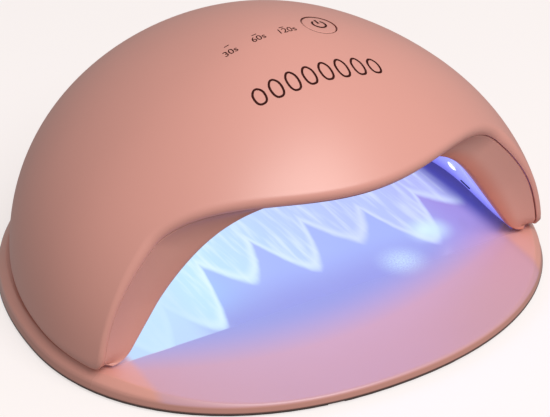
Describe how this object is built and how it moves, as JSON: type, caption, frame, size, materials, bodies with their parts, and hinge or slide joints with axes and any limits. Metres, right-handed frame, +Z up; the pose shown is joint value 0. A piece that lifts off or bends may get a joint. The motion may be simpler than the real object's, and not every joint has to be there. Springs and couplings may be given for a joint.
{
  "type": "uv led nail lamp",
  "caption": "Domed nail curing lamp with a wide wavy arched mouth, push button on the crown, fluted silver reflector and a removable magnetic base tray.",
  "frame": {"origin": "middle of the base tray's bounding outline, on the table the feet stand on", "axes": "+X to the right across the mouth, +Y from the mouth to the back, +Z up"},
  "size_m": [0.2138, 0.2026, 0.1051],
  "materials": {
    "rose_plastic": "soft matte",
    "dark_plastic": "matte",
    "silver_liner": "vacuum metallised",
    "foot_rubber": "matte",
    "screw_steel": "zinc plated",
    "magnet_nickel": "nickel plated",
    "led_lens": "clear silicone, lit violet",
    "led_board": "white solder mask",
    "control_board": "green solder mask",
    "switch_metal": "satin",
    "indicator_tint": "tinted translucent",
    "jack_black": "moulded"
  },
  "bodies": {
    "base": {"base_tray": "rose_plastic", "base_bottom_cover": "dark_plastic", "base_foot_front_right": "foot_rubber", "base_foot_front_left": "foot_rubber", "base_foot_back_right": "foot_rubber", "base_foot_back_left": "foot_rubber", "cover_screw_front_right": "screw_steel", "cover_screw_front_left": "screw_steel", "cover_screw_back_right": "screw_steel", "cover_screw_back_left": "screw_steel", "base_magnet_front_right": "magnet_nickel", "base_magnet_front_left": "magnet_nickel", "base_magnet_back_right": "magnet_nickel", "base_magnet_back_left": "magnet_nickel"},
    "housing": {"dome_shell": "rose_plastic", "front_bezel": "rose_plastic", "reflector_liner": "silver_liner", "housing_bottom_frame": "dark_plastic", "dc_jack": "jack_black", "control_board": "control_board", "tact_switch": "switch_metal", "indicator_30s": "indicator_tint", "indicator_60s": "indicator_tint", "indicator_120s": "indicator_tint", "led_board_right": "led_board", "led_board_left": "led_board", "led_board_back": "led_board", "led_board_roof": "led_board", "uv_led_01": "led_lens", "uv_led_02": "led_lens", "uv_led_03": "led_lens", "uv_led_04": "led_lens", "uv_led_05": "led_lens", "uv_led_06": "led_lens", "uv_led_07": "led_lens", "uv_led_08": "led_lens", "uv_led_09": "led_lens", "uv_led_10": "led_lens", "uv_led_11": "led_lens", "uv_led_12": "led_lens", "housing_magnet_front_right": "magnet_nickel", "housing_magnet_front_left": "magnet_nickel", "housing_magnet_back_right": "magnet_nickel", "housing_magnet_back_left": "magnet_nickel", "frame_screw_front_right": "screw_steel", "frame_screw_front_left": "screw_steel", "frame_screw_back_right": "screw_steel", "frame_screw_back_left": "screw_steel"},
    "button": {"power_button": "rose_plastic", "switch_plunger": "dark_plastic"}
  },
  "joints": [
    {"name": "housing_lift", "type": "slide", "parent": "base", "child": "housing", "axis": [0, 0, 1], "range_m": [0, 0.06]},
    {"name": "power_press", "type": "slide", "parent": "housing", "child": "button", "axis": [-0.2324, 0.0669, -0.9703], "range_m": [0, 0.0008], "stiffness_N_per_m": 900}
  ]
}
